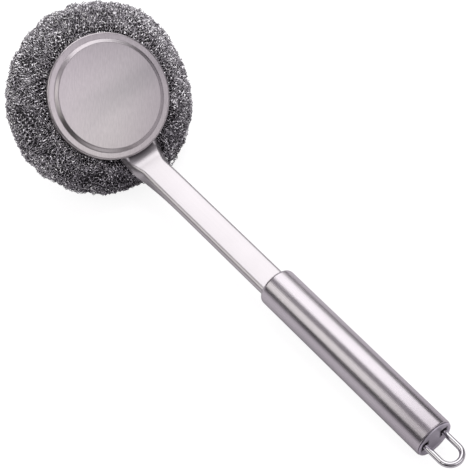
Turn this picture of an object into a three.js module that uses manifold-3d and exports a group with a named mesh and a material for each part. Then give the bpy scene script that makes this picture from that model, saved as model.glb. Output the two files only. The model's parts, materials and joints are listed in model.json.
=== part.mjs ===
// Long-handled wire scourer brush, all stainless steel.
// Sizes are in millimetres and angles in degrees.
// Head frame: origin in the middle of the pad, z along the cap's axis, x towards the handle.
// Handle frame: x along the tube's axis away from the head, z out of the arm's flat side.
import * as THREE from 'three';
import { mergeVertices } from 'three/addons/utils/BufferGeometryUtils.js';
import Module from 'manifold-3d';

const wasm = await Module();
wasm.setup();

// Gap between fitted pieces, and how far a cutting body runs past a face
const FIT = 0.3;
const PAST = 2;

// Scourer pad: an oblate roll of knitted wire
const PAD_R = 48.9;
const PAD_HALF = 22.1;
const PAD_SHOULDER_R = 37;
const PAD_FACE_R = 15;
const PAD_LUMPS = [
  { waves: 1, size: 0.35, turn: 0.84 },
  { waves: 2, size: 0.52, turn: -2.34 },
  { waves: 3, size: 0.5, turn: 0.02 },
  { waves: 4, size: 0.36, turn: -0.7 },
  { waves: 5, size: 0.23, turn: -2.16 },
];
const PAD_ARC_STEPS = 16;

// Head cap: flat middle, low step, flat ring, rounded rim and skirt
const CAP_R = 31.7;
const CAP_SHEET = 0.8;
const CAP_SKIRT_Z = 13.5;
const CAP_RING_Z = 17.4;
const CAP_MIDDLE_Z = 18.45;
const CAP_MIDDLE_R = 26.4;
const CAP_STEP_RUN = 2.4;
const CAP_RIM_ROUND = 1.3;

// Back plate with its claws
const PLATE_SHEET = 1.0;
const CLAW_COUNT = 4;
const CLAW_R = 22.5;
const CLAW_WIDTH = 6;
const CLAW_LENGTH = 13;
const CLAW_POINT = 4;
const CLAW_POCKET_GAP = 0.6;

// Arm: one pressed strip, flat under the cap, with sides that fold down to a channel past the bend
const ARM_SHEET = 1.1;
const ARM_WIDTH = 13.8;
const ARM_DEPTH = 4.5;
const ROOT_DEPTH = 5.3;
const ARM_EDGE_ROUND = 1.9;
const ARM_ANGLE = 41.3;
const ARM_CORNER_X = 36.39;
const ARM_BEND_R = 10.5;
const ARM_ABOVE_AXIS = 1.45;
const FOLD_LEAD = 10;
const FOLD_RUN = 40;
const SPREAD_LEAD = 2;
const SPREAD_RUN = 12;
const GROOVE_GAP = 1.2;
const TONGUE_REACH = 12;
const TANG_LENGTH = 26;

// Rivets through tongue and plate
const RIVET_COUNT = 3;
const RIVET_R = 1.6;
const RIVET_HEAD_R = 3;
const RIVET_HEAD_H = 1.1;
const RIVET_FIRST_X = 1;
const RIVET_PITCH = 10;

// Handle: tube, front cap and end cap
const TUBE_R = 10;
const TUBE_WALL = 0.8;
const TUBE_FRONT_X = 102;
const TUBE_LENGTH = 109;
const TUBE_SHOULDER = 2;
const TUBE_END_ROUND = 0.6;
const TUBE_MOUTH_R = 7.9;
const FRONT_SHEET = 1.0;
const FRONT_SKIRT = 10;
const END_SHEET = 1.0;
const END_SKIRT = 9;
const END_FACE_RISE = 0.3;
const END_FACE_R = 7.9;
const END_BEAD = 0.5;
const END_RIM_R = 9.6;
const END_ROUND = 0.4;

// Hanging loop
const WIRE_R = 1.4;
const LOOP_HALF = 5.55;
const LOOP_REACH = 17;
const LOOP_FOOT_BEND = 1.8;
const LOOP_PIVOT_DEPTH = 3.2;
const LOOP_SWING = 12;

// Fineness of round forms
const ROUND_SEGS = 56;
const TUBE_SEGS = 40;
const WIRE_SEGS = 12;
const SMALL_SEGS = 16;
const CURVE_STEPS = 4;
const WELD = 1e-4;
const LEAN_STEPS = 40;

// Finishes: satin outside, plain inside, bright drawn wire and the dull knit
const SATIN = { color: 0xb9b3b8, roughness: 0.34 };
const PLAIN = { color: 0xa9a5a9, roughness: 0.42 };
const BRIGHT = { color: 0xd8d4d8, roughness: 0.12 };
const KNIT = { color: 0x65626a, roughness: 0.45 };

const rad = THREE.MathUtils.degToRad;
const vec2 = (x, y) => new THREE.Vector2(x, y);

// Sizes that follow from the ones above
const plateZ = CAP_SKIRT_Z;
const plateTopZ = plateZ + PLATE_SHEET;
const plateR = CAP_R - CAP_SHEET - FIT;
const tongueTopZ = plateZ - FIT;
const tongueLowZ = tongueTopZ - ARM_SHEET;
const padTopZ = plateZ - FIT;
const armTilt = rad(ARM_ANGLE);
const quarterTurn = Math.PI / 2;
const bendRun = ARM_BEND_R * armTilt;
const bendSetback = ARM_BEND_R * Math.tan(armTilt / 2);
const armRun = TUBE_FRONT_X + bendRun - bendSetback;
const sideLength = (depth, fold) => depth - ARM_EDGE_ROUND + ARM_EDGE_ROUND * (quarterTurn - fold);
const flatHalf = ARM_WIDTH / 2 - ARM_EDGE_ROUND;
const rootSpread = ROOT_DEPTH - ARM_EDGE_ROUND;
const tongueHalf = flatHalf + sideLength(ROOT_DEPTH, 0);
const handleX = ARM_CORNER_X + ARM_ABOVE_AXIS * Math.sin(armTilt);
const handleZ = tongueTopZ - ARM_ABOVE_AXIS * Math.cos(armTilt);
const tubeBackX = TUBE_FRONT_X + TUBE_LENGTH;
const tubeBoreR = TUBE_R - TUBE_WALL;
const plugR = tubeBoreR - FIT;
const endFaceX = tubeBackX + END_FACE_RISE;
const pivotX = endFaceX - LOOP_PIVOT_DEPTH;
const slotHalfWidth = WIRE_R + FIT;
const swing = rad(LOOP_SWING);
const slotHalfLength = LOOP_PIVOT_DEPTH * Math.tan(swing) + WIRE_R / Math.cos(swing) + FIT;

// Solid bodies: closing, joining and cutting
function facingOut(geometry) {
  const place = geometry.attributes.position;
  const index = geometry.index.array;
  const a = new THREE.Vector3();
  const b = new THREE.Vector3();
  const c = new THREE.Vector3();
  let volume = 0;
  for (let i = 0; i < index.length; i += 3) {
    a.fromBufferAttribute(place, index[i]);
    b.fromBufferAttribute(place, index[i + 1]);
    c.fromBufferAttribute(place, index[i + 2]);
    volume += a.dot(b.cross(c));
  }
  if (volume < 0) {
    for (let i = 0; i < index.length; i += 3) {
      [index[i + 1], index[i + 2]] = [index[i + 2], index[i + 1]];
    }
  }
  return geometry;
}

function closed(geometry) {
  const bare = geometry.clone();
  bare.deleteAttribute('normal');
  bare.deleteAttribute('uv');
  const welded = mergeVertices(bare, WELD);
  const kept = [];
  const index = welded.index.array;
  for (let i = 0; i < index.length; i += 3) {
    const [p, q, r] = [index[i], index[i + 1], index[i + 2]];
    if (p !== q && q !== r && r !== p) {
      kept.push(p, q, r);
    }
  }
  welded.setIndex(kept);
  return facingOut(welded);
}

function solid(geometry) {
  const body = closed(geometry);
  const mesh = new wasm.Mesh({
    numProp: 3,
    vertProperties: new Float32Array(body.attributes.position.array),
    triVerts: new Uint32Array(body.index.array),
  });
  return new wasm.Manifold(mesh);
}

function surface(body) {
  const mesh = body.getMesh();
  const geometry = new THREE.BufferGeometry();
  geometry.setAttribute('position', new THREE.BufferAttribute(new Float32Array(mesh.vertProperties), 3));
  geometry.setIndex(new THREE.BufferAttribute(new Uint32Array(mesh.triVerts), 1));
  return geometry;
}

function cut(base, tools) {
  return surface(tools.reduce((body, tool) => body.subtract(solid(tool)), solid(base)));
}

function joined(base, additions) {
  return surface(additions.reduce((body, extra) => body.add(solid(extra)), solid(base)));
}

// Shape builders
function turnedAboutZ(points, segments) {
  return new THREE.LatheGeometry(points, segments).rotateX(Math.PI / 2);
}

function turnedAboutX(points, segments) {
  return new THREE.LatheGeometry(points, segments).rotateZ(-Math.PI / 2);
}

function closedLine(points) {
  return [...points, points[0].clone()];
}

function bar(shape, length) {
  const options = { depth: length, bevelEnabled: false, curveSegments: SMALL_SEGS };
  return new THREE.ExtrudeGeometry(shape, options);
}

function rectangle(width, height) {
  const [w, h] = [width / 2, height / 2];
  return new THREE.Shape([vec2(-w, -h), vec2(w, -h), vec2(w, h), vec2(-w, h)]);
}

function roundHole(x, y, radius) {
  return new THREE.Path().absarc(x, y, radius, 0, 2 * Math.PI, true);
}

// Skin over a row of closed sections with equal point counts, first half facing second half
function loft(sections) {
  const count = sections[0].length;
  const places = sections.flat().flatMap((p) => [p.x, p.y, p.z]);
  const index = [];
  for (let s = 0; s < sections.length - 1; s += 1) {
    for (let i = 0; i < count; i += 1) {
      const next = (i + 1) % count;
      const [a, b] = [s * count + i, s * count + next];
      const [c, d] = [a + count, b + count];
      index.push(a, b, d, a, d, c);
    }
  }
  const last = (sections.length - 1) * count;
  for (let i = 0; i < count / 2 - 1; i += 1) {
    const [a, b, c, d] = [i, i + 1, count - 2 - i, count - 1 - i];
    index.push(a, c, b, a, d, c);
    index.push(last + a, last + b, last + c, last + a, last + c, last + d);
  }
  const geometry = new THREE.BufferGeometry();
  geometry.setAttribute('position', new THREE.Float32BufferAttribute(places, 3));
  geometry.setIndex(index);
  return facingOut(geometry);
}

// Scourer pad
function padGeometry() {
  const top = Math.acos(PAD_SHOULDER_R / PAD_R);
  const bottom = -Math.acos(PAD_FACE_R / PAD_R);
  const line = [vec2(0, padTopZ), vec2(CAP_R, padTopZ)];
  for (let i = 0; i <= PAD_ARC_STEPS; i += 1) {
    const angle = THREE.MathUtils.lerp(top, bottom, i / PAD_ARC_STEPS);
    line.push(vec2(PAD_R * Math.cos(angle), PAD_HALF * Math.sin(angle)));
  }
  line.push(vec2(0, PAD_HALF * Math.sin(bottom)));
  const roll = turnedAboutZ(line, ROUND_SEGS);
  const place = roll.attributes.position;
  for (let i = 0; i < place.count; i += 1) {
    const p = new THREE.Vector3().fromBufferAttribute(place, i);
    const r = Math.hypot(p.x, p.y);
    const turn = Math.atan2(p.y, p.x);
    const share = THREE.MathUtils.smoothstep(r, CAP_R, PAD_R);
    const lumps = PAD_LUMPS.map(({ waves, size, turn: shift }) => size * Math.sin(waves * turn + shift));
    const lump = lumps.reduce((sum, height) => sum + height, 0);
    const grown = r > 0 ? 1 + share * lump / r : 1;
    place.setXYZ(i, p.x * grown, p.y * grown, p.z);
  }
  roll.computeBoundingBox();
  roll.translate(0, -(roll.boundingBox.min.y + roll.boundingBox.max.y) / 2, 0);
  const pockets = clawPlaces().map((turn) => {
    const width = CLAW_WIDTH + 2 * CLAW_POCKET_GAP;
    const thick = PLATE_SHEET + 2 * CLAW_POCKET_GAP;
    const depth = CLAW_LENGTH + CLAW_POCKET_GAP + PAST;
    return bar(rectangle(thick, width), depth)
      .translate(CLAW_R - PLATE_SHEET / 2, 0, plateZ + PAST - depth)
      .rotateZ(turn);
  });
  return cut(roll, [...pockets, armGroove(), ...rivetPits()]);
}

// Room in the pad below the tongue, the bend and the folded sides
function armGroove() {
  const stations = rootStations();
  const high = stations.at(-1).z + PAST;
  const tip = { ...stations[0], x: stations[0].x - FIT };
  return loft([tip, ...stations].map(({ x, z, tilt, ...sides }) => {
    const edge = stripSide(sides, ARM_SHEET)[0];
    const at = x - edge.y * Math.sin(tilt);
    const low = z + edge.y * Math.cos(tilt) - FIT;
    const side = stripSide(sides, 0)[0].x + GROOVE_GAP;
    const corners = [vec2(-side, low), vec2(side, low), vec2(side, high), vec2(-side, high)];
    return corners.map((p) => new THREE.Vector3(at, p.x, p.y));
  }));
}

function rivetPits() {
  const depth = RIVET_HEAD_H + 2 * FIT;
  return rivetXs().map((x) => {
    const radius = RIVET_HEAD_R + FIT;
    const pit = new THREE.CylinderGeometry(radius, radius, depth + PAST, SMALL_SEGS);
    return pit.rotateX(Math.PI / 2).translate(x, 0, tongueLowZ - depth / 2 + PAST / 2);
  });
}

// Head cap
function capLine(inset) {
  const rim = CAP_RIM_ROUND - inset;
  const ringZ = CAP_RING_Z - inset;
  const middleZ = CAP_MIDDLE_Z - inset;
  const stepEnd = CAP_MIDDLE_R + CAP_STEP_RUN;
  const half = CAP_STEP_RUN / 2;
  const line = new THREE.Path();
  line.moveTo(0, middleZ);
  line.lineTo(CAP_MIDDLE_R, middleZ);
  line.bezierCurveTo(CAP_MIDDLE_R + half, middleZ, stepEnd - half, ringZ, stepEnd, ringZ);
  line.lineTo(CAP_R - CAP_RIM_ROUND, ringZ);
  line.absarc(CAP_R - CAP_RIM_ROUND, CAP_RING_Z - CAP_RIM_ROUND, rim, Math.PI / 2, 0, true);
  line.lineTo(CAP_R - inset, CAP_SKIRT_Z);
  return line.getPoints(CURVE_STEPS);
}

function capGeometry() {
  return turnedAboutZ([...capLine(0), ...capLine(CAP_SHEET).reverse()], ROUND_SEGS);
}

// Back plate
function clawPlaces() {
  const between = 2 * Math.PI / CLAW_COUNT;
  return Array.from({ length: CLAW_COUNT }, (_, i) => (i + 1 / 2) * between);
}

function plateGeometry() {
  const disc = new THREE.Shape().absarc(0, 0, plateR, 0, 2 * Math.PI, false);
  rivetXs().forEach((x) => disc.holes.push(roundHole(x, 0, RIVET_R + FIT)));
  clawPlaces().forEach((turn) => {
    const [inner, outer, half] = [CLAW_R - CLAW_LENGTH, CLAW_R - PLATE_SHEET, CLAW_WIDTH / 2 + FIT];
    const corners = [vec2(inner, -half), vec2(inner, half), vec2(outer, half), vec2(outer, -half)];
    disc.holes.push(new THREE.Path(corners.map((p) => p.rotateAround(vec2(0, 0), turn))));
  });
  const options = { depth: PLATE_SHEET, bevelEnabled: false, curveSegments: ROUND_SEGS / 2 };
  const plate = new THREE.ExtrudeGeometry(disc, options).translate(0, 0, plateZ);
  const half = CLAW_WIDTH / 2;
  const outline = new THREE.Shape([
    vec2(-half, plateTopZ - PLATE_SHEET / 2),
    vec2(-half, plateZ - CLAW_LENGTH + CLAW_POINT),
    vec2(-half / 2, plateZ - CLAW_LENGTH),
    vec2(half / 2, plateZ - CLAW_LENGTH),
    vec2(half, plateZ - CLAW_LENGTH + CLAW_POINT),
    vec2(half, plateTopZ - PLATE_SHEET / 2),
  ]);
  const claws = clawPlaces().map((turn) => bar(outline, PLATE_SHEET)
    .rotateX(Math.PI / 2)
    .rotateZ(-Math.PI / 2)
    .translate(CLAW_R, 0, 0)
    .rotateZ(turn));
  return joined(plate, claws);
}

// Rivets
function rivetXs() {
  return Array.from({ length: RIVET_COUNT }, (_, i) => RIVET_FIRST_X + i * RIVET_PITCH);
}

function rivetGeometry(x) {
  const under = tongueLowZ - FIT;
  const over = plateTopZ + FIT;
  const line = new THREE.Path();
  line.moveTo(0, under - RIVET_HEAD_H);
  line.quadraticCurveTo(RIVET_HEAD_R, under - RIVET_HEAD_H, RIVET_HEAD_R, under);
  line.lineTo(RIVET_R, under);
  line.lineTo(RIVET_R, over);
  line.lineTo(RIVET_HEAD_R, over);
  line.quadraticCurveTo(RIVET_HEAD_R, over + RIVET_HEAD_H, 0, over + RIVET_HEAD_H);
  return closed(turnedAboutZ(line.getPoints(CURVE_STEPS), SMALL_SEGS)).translate(x, 0, 0);
}

// Arm: half of the strip's section, from the side's tip over its round to the flat middle
function stripSide({ flat, side, fold }, inset) {
  const round = ARM_EDGE_ROUND - inset;
  const onRound = (turn) => vec2(flat + round * Math.sin(turn), round * Math.cos(turn) - ARM_EDGE_ROUND);
  const points = [onRound(fold).add(vec2(side * Math.cos(fold), -side * Math.sin(fold)))];
  for (let i = CURVE_STEPS; i >= 0; i -= 1) {
    points.push(onRound(fold * i / CURVE_STEPS));
  }
  return points;
}

function stripSection(sides) {
  const mirrored = (points) => points.map((p) => vec2(-p.x, p.y));
  const outer = stripSide(sides, 0);
  const inner = stripSide(sides, ARM_SHEET);
  return [...mirrored(outer), ...outer.reverse(), ...inner, ...mirrored(inner).reverse()];
}

// The strip's sides at a distance along it from the start of the bend
function sidesAt(along) {
  const { lerp, clamp, smoothstep } = THREE.MathUtils;
  const fold = quarterTurn * Math.sin(quarterTurn * clamp((along + FOLD_LEAD) / FOLD_RUN, 0, 1));
  const spread = rootSpread * (1 - smoothstep(along, -SPREAD_LEAD, SPREAD_RUN));
  const depth = lerp(ROOT_DEPTH, ARM_DEPTH, clamp(along / armRun, 0, 1)) - spread;
  return { flat: flatHalf + spread, side: sideLength(depth, fold), fold };
}

function straightStation(along) {
  const out = bendSetback + along - bendRun;
  const x = ARM_CORNER_X + out * Math.cos(armTilt);
  return { x, z: tongueTopZ + out * Math.sin(armTilt), tilt: armTilt, ...sidesAt(along) };
}

function rootStations() {
  const startX = ARM_CORNER_X - bendSetback;
  const stations = [];
  for (let i = 1; i <= CURVE_STEPS; i += 1) {
    const turn = quarterTurn * i / CURVE_STEPS;
    const x = -TONGUE_REACH + tongueHalf * (1 - Math.cos(turn));
    const flat = (flatHalf + rootSpread) * Math.sin(turn);
    const side = tongueHalf * Math.sin(turn) - flat;
    stations.push({ x, z: tongueTopZ, tilt: 0, flat, side, fold: 0 });
  }
  for (let i = 0; i < CURVE_STEPS; i += 1) {
    const along = FOLD_LEAD * (i / CURVE_STEPS - 1);
    stations.push({ x: startX + along, z: tongueTopZ, tilt: 0, ...sidesAt(along) });
  }
  for (let i = 0; i <= CURVE_STEPS; i += 1) {
    const tilt = armTilt * i / CURVE_STEPS;
    const x = startX + ARM_BEND_R * Math.sin(tilt);
    const z = tongueTopZ + ARM_BEND_R * (1 - Math.cos(tilt));
    stations.push({ x, z, tilt, ...sidesAt(ARM_BEND_R * tilt) });
  }
  for (let i = 1; i <= 2 * CURVE_STEPS; i += 1) {
    const along = THREE.MathUtils.lerp(bendRun, FOLD_RUN - FOLD_LEAD, i / (2 * CURVE_STEPS));
    stations.push(straightStation(along));
  }
  return stations;
}

function armGeometry() {
  const stations = [...rootStations(), straightStation(armRun), straightStation(armRun + TANG_LENGTH)];
  const sections = stations.map(({ x, z, tilt, ...sides }) => {
    const onStrip = (p) => new THREE.Vector3(x - p.y * Math.sin(tilt), p.x, z + p.y * Math.cos(tilt));
    return stripSection(sides).map(onStrip);
  });
  const holes = rivetXs().map((x) => {
    const radius = RIVET_R + FIT;
    const pin = new THREE.CylinderGeometry(radius, radius, ARM_SHEET + 2 * PAST, SMALL_SEGS);
    return pin.rotateX(Math.PI / 2).translate(x, 0, tongueTopZ - ARM_SHEET / 2);
  });
  return cut(loft(sections), holes);
}

// Handle tube
function tubeGeometry() {
  const round = TUBE_FRONT_X + TUBE_SHOULDER;
  const line = new THREE.Path();
  line.moveTo(TUBE_MOUTH_R, TUBE_FRONT_X);
  line.lineTo(TUBE_R - TUBE_SHOULDER, TUBE_FRONT_X);
  line.absarc(TUBE_R - TUBE_SHOULDER, round, TUBE_SHOULDER, -Math.PI / 2, 0, false);
  line.lineTo(TUBE_R, tubeBackX - TUBE_END_ROUND);
  line.quadraticCurveTo(TUBE_R, tubeBackX, TUBE_R - TUBE_END_ROUND, tubeBackX);
  line.lineTo(tubeBoreR, tubeBackX);
  line.lineTo(tubeBoreR, round);
  line.absarc(TUBE_R - TUBE_SHOULDER, round, TUBE_SHOULDER - TUBE_WALL, 0, -Math.PI / 2, true);
  line.lineTo(TUBE_MOUTH_R, TUBE_FRONT_X + TUBE_WALL);
  return turnedAboutX(closedLine(line.getPoints(CURVE_STEPS)), TUBE_SEGS);
}

// Front cap with a slot that follows the channel
function frontCapGeometry() {
  const front = TUBE_FRONT_X + TUBE_SHOULDER + FIT;
  const back = front + FRONT_SHEET;
  const line = [
    vec2(0, front),
    vec2(plugR, front),
    vec2(plugR, front + FRONT_SKIRT),
    vec2(plugR - FRONT_SHEET, front + FRONT_SKIRT),
    vec2(plugR - FRONT_SHEET, back),
    vec2(0, back),
  ];
  const [outX, inX] = [ARM_WIDTH / 2 + FIT, ARM_WIDTH / 2 - ARM_SHEET - FIT];
  const [top, under] = [ARM_ABOVE_AXIS + FIT, ARM_ABOVE_AXIS - ARM_SHEET - FIT];
  const low = ARM_ABOVE_AXIS - ARM_DEPTH - FIT;
  const slot = new THREE.Shape([
    vec2(-outX, low), vec2(-inX, low), vec2(-inX, under), vec2(inX, under),
    vec2(inX, low), vec2(outX, low), vec2(outX, top), vec2(-outX, top),
  ]);
  const depth = FRONT_SHEET + 2 * PAST;
  const tool = bar(slot, depth).rotateX(Math.PI / 2).rotateZ(Math.PI / 2).translate(front - PAST, 0, 0);
  return cut(turnedAboutX(line, TUBE_SEGS), [tool]);
}

// End cap with slots for the loop's legs and holes for its feet
function endCapGeometry() {
  const seat = tubeBackX + FIT;
  const crest = endFaceX + END_BEAD;
  const line = new THREE.Path();
  line.moveTo(0, endFaceX);
  line.lineTo(END_FACE_R, endFaceX);
  line.quadraticCurveTo(END_FACE_R, crest, END_RIM_R - END_ROUND, crest);
  line.quadraticCurveTo(END_RIM_R, crest, END_RIM_R, crest - END_ROUND);
  line.lineTo(END_RIM_R, seat);
  line.lineTo(plugR, seat);
  line.lineTo(plugR, tubeBackX - END_SKIRT);
  line.lineTo(plugR - END_SHEET, tubeBackX - END_SKIRT);
  line.lineTo(plugR - END_SHEET, endFaceX - END_SHEET);
  line.lineTo(0, endFaceX - END_SHEET);
  const cup = turnedAboutX(line.getPoints(CURVE_STEPS), TUBE_SEGS);
  const straight = slotHalfLength - slotHalfWidth;
  const slots = [LOOP_HALF, -LOOP_HALF].map((y) => {
    const outline = new THREE.Shape();
    outline.absarc(y, straight, slotHalfWidth, 0, Math.PI, false);
    outline.absarc(y, -straight, slotHalfWidth, Math.PI, 2 * Math.PI, false);
    const depth = END_SHEET + 2 * PAST;
    const tool = bar(outline, depth).rotateX(Math.PI / 2).rotateZ(Math.PI / 2);
    return tool.translate(endFaceX - depth + PAST, 0, 0);
  });
  const bores = [1, -1].map((side) => {
    const length = END_SHEET + PAST;
    const pin = new THREE.CylinderGeometry(WIRE_R + FIT, WIRE_R + FIT, length, SMALL_SEGS);
    return pin.translate(pivotX, side * (plugR - END_SHEET + length / 2 - FIT), 0);
  });
  return cut(cup, [...slots, ...bores]);
}

// Hanging loop
function loopGeometry() {
  const spots = [];
  const bowX = tubeBackX + LOOP_REACH - WIRE_R - LOOP_HALF;
  const footEnd = tubeBoreR - FIT;
  const bendX = pivotX + LOOP_FOOT_BEND;
  const bendY = LOOP_HALF + LOOP_FOOT_BEND;
  spots.push({ x: pivotX, y: footEnd, turn: -Math.PI / 2 });
  for (let i = 0; i <= CURVE_STEPS; i += 1) {
    const turn = -Math.PI / 2 + Math.PI / 2 * i / CURVE_STEPS;
    spots.push({
      x: bendX - LOOP_FOOT_BEND * Math.cos(turn + Math.PI / 2),
      y: bendY - LOOP_FOOT_BEND * Math.sin(turn + Math.PI / 2),
      turn,
    });
  }
  for (let i = 0; i <= 2 * CURVE_STEPS; i += 1) {
    const angle = Math.PI / 2 * i / (2 * CURVE_STEPS);
    spots.push({ x: bowX + LOOP_HALF * Math.sin(angle), y: LOOP_HALF * Math.cos(angle), turn: -angle });
  }
  const ahead = spots.slice(0, -1).reverse();
  const back = ahead.map(({ x, y, turn }) => ({ x, y: -y, turn: -Math.PI - turn }));
  const sections = [...spots, ...back].map(({ x, y, turn }) => ringAt(x, y, turn));
  return loft(sections);
}

function ringAt(x, y, turn) {
  return Array.from({ length: WIRE_SEGS }, (_, i) => {
    const angle = 2 * Math.PI * i / WIRE_SEGS;
    const side = WIRE_R * Math.cos(angle);
    const up = WIRE_R * Math.sin(angle);
    return new THREE.Vector3(x - side * Math.sin(turn), y + side * Math.cos(turn), up);
  });
}

// Metals
function metal(name, { color, roughness }) {
  return new THREE.MeshStandardMaterial({ name, color, roughness, metalness: 1 });
}

function piece(name, geometry, material) {
  const body = closed(geometry);
  body.computeVertexNormals();
  const mesh = new THREE.Mesh(body, material);
  mesh.name = name;
  return mesh;
}

const head = new THREE.Group();
head.name = 'head';
head.add(piece('scourer_pad', padGeometry(), metal('knitted_wire', KNIT)));
head.add(piece('head_cap', capGeometry(), metal('cap_steel', SATIN)));
head.add(piece('back_plate', plateGeometry(), metal('plate_steel', PLAIN)));
head.add(piece('arm', armGeometry(), metal('arm_steel', SATIN)));
rivetXs().forEach((x, i) => {
  head.add(piece(`root_rivet_${i + 1}`, rivetGeometry(x), metal(`rivet_steel_${i + 1}`, PLAIN)));
});

const handle = new THREE.Group();
handle.name = 'handle';
handle.position.set(handleX, 0, handleZ);
handle.rotation.y = -armTilt;
handle.add(piece('front_cap', frontCapGeometry(), metal('front_steel', PLAIN)));
handle.add(piece('handle_tube', tubeGeometry(), metal('tube_steel', SATIN)));
handle.add(piece('end_cap', endCapGeometry(), metal('end_steel', SATIN)));
handle.add(piece('hanging_loop', loopGeometry(), metal('loop_steel', BRIGHT)));

// The brush lies as it is put down: pad edge and the back of the handle on the ground
const brush = new THREE.Group();
brush.name = 'scourer_brush';
brush.add(head, handle);

function lowest(group, lean) {
  brush.rotation.y = lean;
  brush.updateMatrixWorld(true);
  return new THREE.Box3().setFromObject(group, true).min.z;
}

let [little, much] = [0, Math.PI / 2];
for (let i = 0; i < LEAN_STEPS; i += 1) {
  const middle = (little + much) / 2;
  if (lowest(handle, middle) > lowest(head, middle)) {
    little = middle;
  } else {
    much = middle;
  }
}
brush.rotation.y = little;
brush.updateMatrixWorld(true);
const box = new THREE.Box3().setFromObject(brush, true);
brush.position.set(-(box.min.x + box.max.x) / 2, 0, -box.min.z);

const part = new THREE.Group();
part.name = 'part';
part.add(brush);

export default part;
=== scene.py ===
"""Looks of a long-handled wire scourer brush: sheet steel, tube, wire loop and knitted-wire pad."""
import json
import math

import bmesh
import bpy
import numpy as np
from bpy.props import FloatProperty, FloatVectorProperty, IntProperty, PointerProperty
from mathutils import Matrix, Vector


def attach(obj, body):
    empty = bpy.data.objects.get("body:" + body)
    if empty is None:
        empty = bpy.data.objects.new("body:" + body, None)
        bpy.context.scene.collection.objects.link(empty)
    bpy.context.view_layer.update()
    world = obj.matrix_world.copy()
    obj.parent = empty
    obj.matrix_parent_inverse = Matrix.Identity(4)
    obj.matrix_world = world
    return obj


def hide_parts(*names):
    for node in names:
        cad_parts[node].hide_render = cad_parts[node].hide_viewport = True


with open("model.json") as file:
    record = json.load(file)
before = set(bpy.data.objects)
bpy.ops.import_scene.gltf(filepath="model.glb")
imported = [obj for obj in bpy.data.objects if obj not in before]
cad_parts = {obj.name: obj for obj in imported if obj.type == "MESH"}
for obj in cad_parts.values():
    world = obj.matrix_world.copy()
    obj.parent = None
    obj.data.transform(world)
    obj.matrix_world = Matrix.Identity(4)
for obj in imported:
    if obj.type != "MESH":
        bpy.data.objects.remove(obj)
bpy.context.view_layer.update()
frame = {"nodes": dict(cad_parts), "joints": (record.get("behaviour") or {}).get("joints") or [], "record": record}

bl_info = {
    "name": "Scourer Brush",
    "version": (1, 0, 0),
    "blender": (4, 5, 0),
    "location": "3D View > Sidebar > Scourer",
    "description": "Models the surfaces of a wire scourer brush around its solid frame",
    "category": "Mesh",
}

MM = 0.001
FIT = 0.3 * MM
X, Y, Z = range(3)
ACROSS = Vector((0, 1, 0))
FULL_TURN = 2 * math.pi
QUARTER = math.pi / 2


# Places read from the frame

def mount(name):
    """The record's mount of that name."""
    return next(m for m in frame["record"]["mounts"] if m["name"] == name)


def axes_at(origin, x_axis, z_axis):
    """Matrix of a local frame with that origin, x and z."""
    x, z = Vector(x_axis).normalized(), Vector(z_axis).normalized()
    turn = Matrix((x, z.cross(x), z)).transposed().to_4x4()
    return Matrix.Translation(origin) @ turn


def vertices(name, place):
    """Vertices of a solid in a local frame."""
    back = place.inverted()
    return [back @ v.co for v in frame["nodes"][name].data.vertices]


def reach(name, place, axis, where=lambda p: True):
    """Where a solid's vertices lie along one axis of a local frame."""
    return [p[axis] for p in vertices(name, place) if where(p)]


CAP_AXIS = Vector(mount("cap_top")["axis"])
GRIP_AXIS = Vector(mount("grip")["axis"])
HEAD = axes_at(mount("cap_top")["pos_m"], ACROSS.cross(CAP_AXIS), CAP_AXIS)
GRIP = axes_at(mount("grip")["pos_m"], GRIP_AXIS, GRIP_AXIS.cross(ACROSS))
TO_HEAD = HEAD.inverted()
SWING = next(j for j in frame["joints"] if j["name"] == "loop_swing")

CAP_R = max(reach("head_cap", HEAD, Y))
CAP_SKIRT = min(reach("head_cap", HEAD, Z))
PAD_LOW = min(reach("scourer_pad", HEAD, Z))
PAD_HIGH = max(reach("scourer_pad", HEAD, Z))
TUBE_R = max(reach("handle_tube", GRIP, Y))
TUBE_FRONT = min(reach("handle_tube", GRIP, X))
TUBE_BACK = max(reach("handle_tube", GRIP, X))
END_CREST = max(reach("end_cap", GRIP, X))
END_RIM = max(reach("end_cap", GRIP, Y))
LOOP_END = max(reach("hanging_loop", GRIP, X))
LOOP_FOOT = max(reach("hanging_loop", GRIP, Y))
WIRE_R = max(reach("hanging_loop", GRIP, Z))
PIVOT_X = (GRIP.inverted() @ Vector(SWING["pos_m"])).x
TONGUE_END = min(reach("arm", HEAD, X))
TONGUE_HALF = max(reach("arm", HEAD, Y))
TONGUE_TOP = max(reach("arm", HEAD, Z, lambda p: p.x < CAP_R / 2))
ARM_TOP = max(reach("arm", GRIP, Z, lambda p: p.x > TUBE_FRONT))
ARM_HALF = max(reach("arm", GRIP, Y, lambda p: p.x > TUBE_FRONT))
ARM_END = max(reach("arm", GRIP, X))


# How finely the meshes are made

WELD = 1e-6
SHARP = math.radians(38)
EDGE_ANGLE = math.radians(60)
EDGE_STEPS = 2
BEAD_STEPS = 3
CORNER_STEPS = 5
END_STEPS = 6
RIM_STEPS = 7
SHOULDER_STEPS = 8
CAP_SEGMENTS = 160
TUBE_SEGMENTS = 96
WIRE_SEGMENTS = 24
FOOT_STEPS = 8
BOW_STEPS = 32
ROUND_STEPS = 6
BEND_STEPS = 10
FOLD_STEPS = 24
MERIDIAN_STEPS = 60
OUTLINE_STEPS = 56
CORE_SEGMENTS = 120
STITCH_POINTS = 8
TILT_POINTS = 2

# Sheet steel: the cap's place and step, the arm's width, round edges and walls, the end cap's ring and
# the depth and run of its slot cutters in thicknesses of its sheet

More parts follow.
